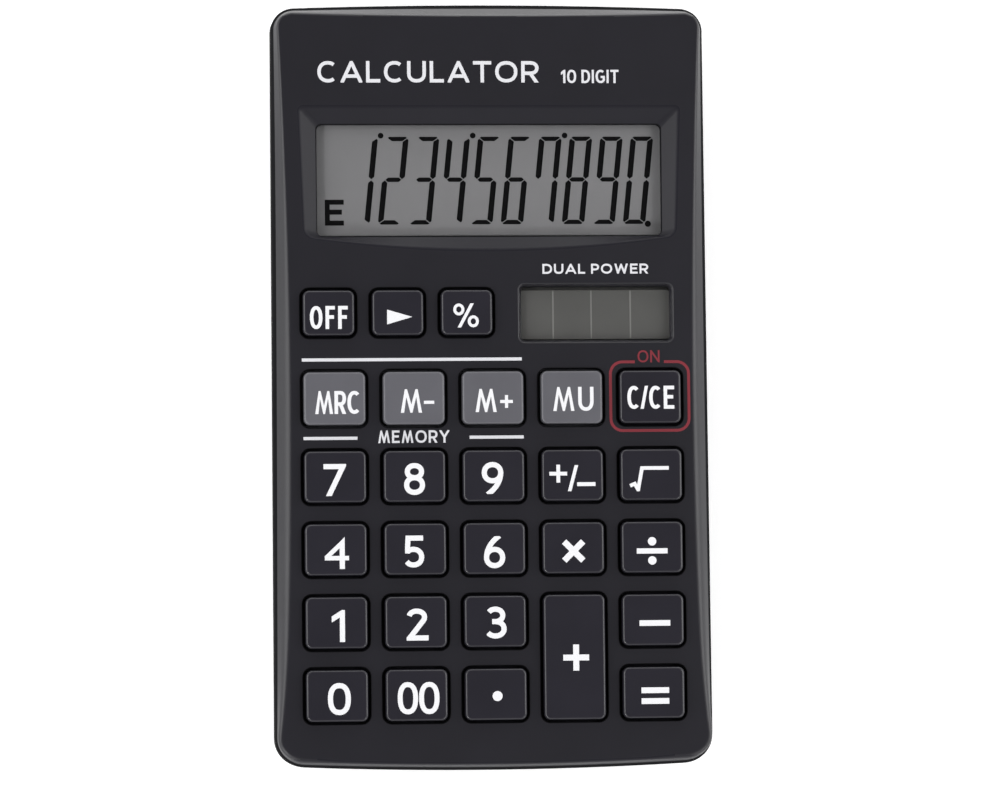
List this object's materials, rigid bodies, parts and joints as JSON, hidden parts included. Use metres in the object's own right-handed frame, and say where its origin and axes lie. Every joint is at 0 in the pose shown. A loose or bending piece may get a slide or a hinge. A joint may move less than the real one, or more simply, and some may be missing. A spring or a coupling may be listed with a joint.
{
  "type": "pocket calculator",
  "caption": "Slim dark pocket calculator with raised black and grey keys, a sunken ten-digit display and a small solar window.",
  "frame": {"origin": "middle of the plane that the four rubber feet stand on", "axes": "+X to the right across the keypad, +Y along the case towards the display end, +Z out of the keypad face"},
  "size_m": [0.0698, 0.1224, 0.0132],
  "materials": {
    "case_front": "fine satin moulded ABS",
    "case_back": "fine spark-eroded texture",
    "key_black": "satin moulded ABS with printed legends",
    "key_grey": "satin moulded ABS with printed legends",
    "clear_window": "clear acrylic",
    "polariser": "neutral grey film",
    "display_glass": "thin float glass",
    "reflector": "frosted silver film",
    "white_plastic": "plain moulded",
    "ribbon_film": "polyimide film",
    "solar_film": "amorphous silicon on glass",
    "foam": "soft foam",
    "lead_red": "PVC wire",
    "lead_black": "PVC wire",
    "board_laminate": "phenolic laminate",
    "epoxy": "cast epoxy",
    "diode_glass": "glass with tinned caps",
    "capacitor_sleeve": "shrink sleeve",
    "silicone": "translucent silicone",
    "carbon": "carbon-filled rubber",
    "steel": "stainless can",
    "spring_steel": "nickel plated",
    "screw_steel": "zinc plated",
    "foot_rubber": "soft rubber",
    "print_white": "screen printed ink",
    "print_red": "screen printed ink",
    "display_ink": "darkened liquid crystal segments"
  },
  "bodies": {
    "case": {"front_cover": "case_front", "back_cover": "case_back", "display_window": "clear_window", "display_polariser": "polariser", "display_glass_front": "display_glass", "display_glass_rear": "display_glass", "display_reflector": "reflector", "display_frame": "white_plastic", "display_ribbon": "ribbon_film", "solar_window": "clear_window", "solar_cell": "solar_film", "solar_pad": "foam", "solar_lead_red": "lead_red", "solar_lead_black": "lead_black", "circuit_board": "board_laminate", "chip_blob": "epoxy", "resistors": "epoxy", "diodes": "diode_glass", "capacitor": "capacitor_sleeve", "keypad_sheet": "silicone", "key_domes": "silicone", "contact_pills": "carbon", "button_cell": "steel", "battery_contact_positive": "spring_steel", "battery_contact_negative": "spring_steel", "battery_cover": "case_back", "battery_cover_screw": "screw_steel", "case_screws": "screw_steel", "board_screws": "screw_steel", "rubber_feet": "foot_rubber"},
    "key_off": {"key_off": "key_black"},
    "key_back": {"key_back": "key_black"},
    "key_percent": {"key_percent": "key_black"},
    "key_mrc": {"key_mrc": "key_grey"},
    "key_m_minus": {"key_m_minus": "key_grey"},
    "key_m_plus": {"key_m_plus": "key_grey"},
    "key_mu": {"key_mu": "key_grey"},
    "key_clear": {"key_clear": "key_black"},
    "key_7": {"key_7": "key_black"},
    "key_8": {"key_8": "key_black"},
    "key_9": {"key_9": "key_black"},
    "key_sign": {"key_sign": "key_black"},
    "key_root": {"key_root": "key_black"},
    "key_4": {"key_4": "key_black"},
    "key_5": {"key_5": "key_black"},
    "key_6": {"key_6": "key_black"},
    "key_times": {"key_times": "key_black"},
    "key_divide": {"key_divide": "key_black"},
    "key_1": {"key_1": "key_black"},
    "key_2": {"key_2": "key_black"},
    "key_3": {"key_3": "key_black"},
    "key_plus": {"key_plus": "key_black"},
    "key_minus": {"key_minus": "key_black"},
    "key_0": {"key_0": "key_black"},
    "key_00": {"key_00": "key_black"},
    "key_point": {"key_point": "key_black"},
    "key_equals": {"key_equals": "key_black"}
  },
  "joints": [
    {"name": "key_off_press", "type": "slide", "parent": "case", "child": "key_off", "axis": [0, 0, -1], "range_m": [0, 0.0009], "stiffness_N_per_m": 600, "springref_m": -0.0004, "deforming": ["key_domes", "contact_pills"]},
    {"name": "key_back_press", "type": "slide", "parent": "case", "child": "key_back", "axis": [0, 0, -1], "range_m": [0, 0.0009], "stiffness_N_per_m": 600, "springref_m": -0.0004, "deforming": ["key_domes", "contact_pills"]},
    {"name": "key_percent_press", "type": "slide", "parent": "case", "child": "key_percent", "axis": [0, 0, -1], "range_m": [0, 0.0009], "stiffness_N_per_m": 600, "springref_m": -0.0004, "deforming": ["key_domes", "contact_pills"]},
    {"name": "key_mrc_press", "type": "slide", "parent": "case", "child": "key_mrc", "axis": [0, 0, -1], "range_m": [0, 0.0009], "stiffness_N_per_m": 600, "springref_m": -0.0004, "deforming": ["key_domes", "contact_pills"]},
    {"name": "key_m_minus_press", "type": "slide", "parent": "case", "child": "key_m_minus", "axis": [0, 0, -1], "range_m": [0, 0.0009], "stiffness_N_per_m": 600, "springref_m": -0.0004, "deforming": ["key_domes", "contact_pills"]},
    {"name": "key_m_plus_press", "type": "slide", "parent": "case", "child": "key_m_plus", "axis": [0, 0, -1], "range_m": [0, 0.0009], "stiffness_N_per_m": 600, "springref_m": -0.0004, "deforming": ["key_domes", "contact_pills"]},
    {"name": "key_mu_press", "type": "slide", "parent": "case", "child": "key_mu", "axis": [0, 0, -1], "range_m": [0, 0.0009], "stiffness_N_per_m": 600, "springref_m": -0.0004, "deforming": ["key_domes", "contact_pills"]},
    {"name": "key_clear_press", "type": "slide", "parent": "case", "child": "key_clear", "axis": [0, 0, -1], "range_m": [0, 0.0009], "stiffness_N_per_m": 600, "springref_m": -0.0004, "deforming": ["key_domes", "contact_pills"]},
    {"name": "key_7_press", "type": "slide", "parent": "case", "child": "key_7", "axis": [0, 0, -1], "range_m": [0, 0.0009], "stiffness_N_per_m": 600, "springref_m": -0.0004, "deforming": ["key_domes", "contact_pills"]},
    {"name": "key_8_press", "type": "slide", "parent": "case", "child": "key_8", "axis": [0, 0, -1], "range_m": [0, 0.0009], "stiffness_N_per_m": 600, "springref_m": -0.0004, "deforming": ["key_domes", "contact_pills"]},
    {"name": "key_9_press", "type": "slide", "parent": "case", "child": "key_9", "axis": [0, 0, -1], "range_m": [0, 0.0009], "stiffness_N_per_m": 600, "springref_m": -0.0004, "deforming": ["key_domes", "contact_pills"]},
    {"name": "key_sign_press", "type": "slide", "parent": "case", "child": "key_sign", "axis": [0, 0, -1], "range_m": [0, 0.0009], "stiffness_N_per_m": 600, "springref_m": -0.0004, "deforming": ["key_domes", "contact_pills"]},
    {"name": "key_root_press", "type": "slide", "parent": "case", "child": "key_root", "axis": [0, 0, -1], "range_m": [0, 0.0009], "stiffness_N_per_m": 600, "springref_m": -0.0004, "deforming": ["key_domes", "contact_pills"]},
    {"name": "key_4_press", "type": "slide", "parent": "case", "child": "key_4", "axis": [0, 0, -1], "range_m": [0, 0.0009], "stiffness_N_per_m": 600, "springref_m": -0.0004, "deforming": ["key_domes", "contact_pills"]},
    {"name": "key_5_press", "type": "slide", "parent": "case", "child": "key_5", "axis": [0, 0, -1], "range_m": [0, 0.0009], "stiffness_N_per_m": 600, "springref_m": -0.0004, "deforming": ["key_domes", "contact_pills"]},
    {"name": "key_6_press", "type": "slide", "parent": "case", "child": "key_6", "axis": [0, 0, -1], "range_m": [0, 0.0009], "stiffness_N_per_m": 600, "springref_m": -0.0004, "deforming": ["key_domes", "contact_pills"]},
    {"name": "key_times_press", "type": "slide", "parent": "case", "child": "key_times", "axis": [0, 0, -1], "range_m": [0, 0.0009], "stiffness_N_per_m": 600, "springref_m": -0.0004, "deforming": ["key_domes", "contact_pills"]},
    {"name": "key_divide_press", "type": "slide", "parent": "case", "child": "key_divide", "axis": [0, 0, -1], "range_m": [0, 0.0009], "stiffness_N_per_m": 600, "springref_m": -0.0004, "deforming": ["key_domes", "contact_pills"]},
    {"name": "key_1_press", "type": "slide", "parent": "case", "child": "key_1", "axis": [0, 0, -1], "range_m": [0, 0.0009], "stiffness_N_per_m": 600, "springref_m": -0.0004, "deforming": ["key_domes", "contact_pills"]},
    {"name": "key_2_press", "type": "slide", "parent": "case", "child": "key_2", "axis": [0, 0, -1], "range_m": [0, 0.0009], "stiffness_N_per_m": 600, "springref_m": -0.0004, "deforming": ["key_domes", "contact_pills"]},
    {"name": "key_3_press", "type": "slide", "parent": "case", "child": "key_3", "axis": [0, 0, -1], "range_m": [0, 0.0009], "stiffness_N_per_m": 600, "springref_m": -0.0004, "deforming": ["key_domes", "contact_pills"]},
    {"name": "key_plus_press", "type": "slide", "parent": "case", "child": "key_plus", "axis": [0, 0, -1], "range_m": [0, 0.0009], "stiffness_N_per_m": 600, "springref_m": -0.0004, "deforming": ["key_domes", "contact_pills"]},
    {"name": "key_minus_press", "type": "slide", "parent": "case", "child": "key_minus", "axis": [0, 0, -1], "range_m": [0, 0.0009], "stiffness_N_per_m": 600, "springref_m": -0.0004, "deforming": ["key_domes", "contact_pills"]},
    {"name": "key_0_press", "type": "slide", "parent": "case", "child": "key_0", "axis": [0, 0, -1], "range_m": [0, 0.0009], "stiffness_N_per_m": 600, "springref_m": -0.0004, "deforming": ["key_domes", "contact_pills"]},
    {"name": "key_00_press", "type": "slide", "parent": "case", "child": "key_00", "axis": [0, 0, -1], "range_m": [0, 0.0009], "stiffness_N_per_m": 600, "springref_m": -0.0004, "deforming": ["key_domes", "contact_pills"]},
    {"name": "key_point_press", "type": "slide", "parent": "case", "child": "key_point", "axis": [0, 0, -1], "range_m": [0, 0.0009], "stiffness_N_per_m": 600, "springref_m": -0.0004, "deforming": ["key_domes", "contact_pills"]},
    {"name": "key_equals_press", "type": "slide", "parent": "case", "child": "key_equals", "axis": [0, 0, -1], "range_m": [0, 0.0009], "stiffness_N_per_m": 600, "springref_m": -0.0004, "deforming": ["key_domes", "contact_pills"]}
  ]
}
